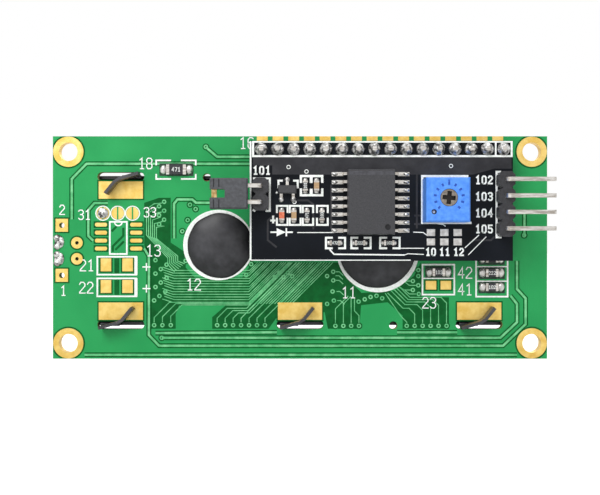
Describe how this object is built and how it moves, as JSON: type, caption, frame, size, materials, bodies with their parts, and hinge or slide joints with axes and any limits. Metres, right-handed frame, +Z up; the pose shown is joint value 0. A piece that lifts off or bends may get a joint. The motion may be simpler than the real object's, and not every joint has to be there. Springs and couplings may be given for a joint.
{
  "type": "character lcd module",
  "caption": "Two-row character display module: green board, black folded frame round a blue window, and a black serial adapter board with trimmer and jumper soldered behind it.",
  "frame": {"origin": "centre of the four corner holes on the front face of the main board", "axes": "+X right as seen from the display side, +Y from the display side to the adapter side, +Z up; the display faces -Y"},
  "size_m": [0.08, 0.0177, 0.036],
  "materials": {
    "green_board": "green solder mask over glass laminate, semi-gloss",
    "black_board": "black solder mask over glass laminate, semi-gloss",
    "gold_plating": "gold-plated copper",
    "tin": "tinned metal",
    "solder": "bright solder",
    "black_steel": "black painted sheet steel, satin",
    "display_film": "blue polariser over the liquid crystal, satin",
    "display_glass": "clear plate glass",
    "white_film": "white diffusing film",
    "white_plastic": "white moulded plastic",
    "clear_acrylic": "clear acrylic light guide",
    "pink_rubber": "pink silicone contact strip",
    "black_epoxy": "black encapsulating resin",
    "white_ink": "white screen ink",
    "black_moulding": "black moulded plastic",
    "black_ceramic": "glazed chip resistor",
    "tan_ceramic": "tan chip capacitor",
    "blue_plastic": "blue moulded plastic",
    "brass_screw": "plated brass adjusting screw",
    "grey_plastic": "dark grey moulded plastic",
    "diode_lens": "milky diode body"
  },
  "bodies": {
    "module": {"adapter_board": "black_board", "adapter_capacitor_ends": "tin", "adapter_capacitors": "tan_ceramic", "adapter_resistor_ends": "tin", "adapter_resistors": "black_ceramic", "adapter_solder_joints": "solder", "address_pads": "tin", "backlight_diodes": "diode_lens", "backlight_frame": "white_plastic", "backlight_solder_joints": "solder", "bezel": "black_steel", "controller_dome": "black_epoxy", "corner_rings": "gold_plating", "diffuser_film": "white_film", "dome_rings": "white_ink", "driver_dome": "black_epoxy", "expander_chip": "black_moulding", "expander_chip_leads": "tin", "expander_chip_pads": "solder", "front_glass": "display_glass", "front_polariser": "display_film", "front_solder_joints": "solder", "header_pads_back": "gold_plating", "header_pads_front": "tin", "header_pins": "tin", "header_strip": "black_moulding", "jumper_header_pins": "tin", "jumper_header_strip": "black_moulding", "light_guide": "clear_acrylic", "link_pads": "gold_plating", "link_solder": "solder", "lower_contact_strip": "pink_rubber", "main_board": "green_board", "main_board_resistor_ends": "tin", "main_board_resistors": "black_ceramic", "power_diode": "diode_lens", "power_diode_ends": "tin", "rear_glass": "display_glass", "rear_polariser": "display_film", "serial_header_pins": "tin", "serial_header_strip": "black_moulding", "supply_pads": "gold_plating", "tab_landings": "gold_plating", "tail_solder_joints": "solder", "test_pads": "gold_plating", "transistor": "black_moulding", "transistor_leads": "tin", "trimmer_housing": "blue_plastic", "trimmer_legs": "tin", "unused_capacitor_pads": "gold_plating", "unused_chip_pads": "gold_plating", "upper_contact_strip": "pink_rubber"},
    "trimmer_screw": {"trimmer_rotor": "brass_screw"},
    "shorting_cap": {"jumper_cap": "grey_plastic", "jumper_contact": "tin"}
  },
  "joints": [
    {"name": "trimmer_turn", "type": "hinge", "parent": "module", "child": "trimmer_screw", "pos_m": [-0.0227, 0.01, 0.0076], "axis": [0, 1, 0], "range_deg": [-130, 130]},
    {"name": "cap_pull", "type": "slide", "parent": "module", "child": "shorting_cap", "axis": [1, 0, 0], "range_m": [0, 0.006]}
  ]
}
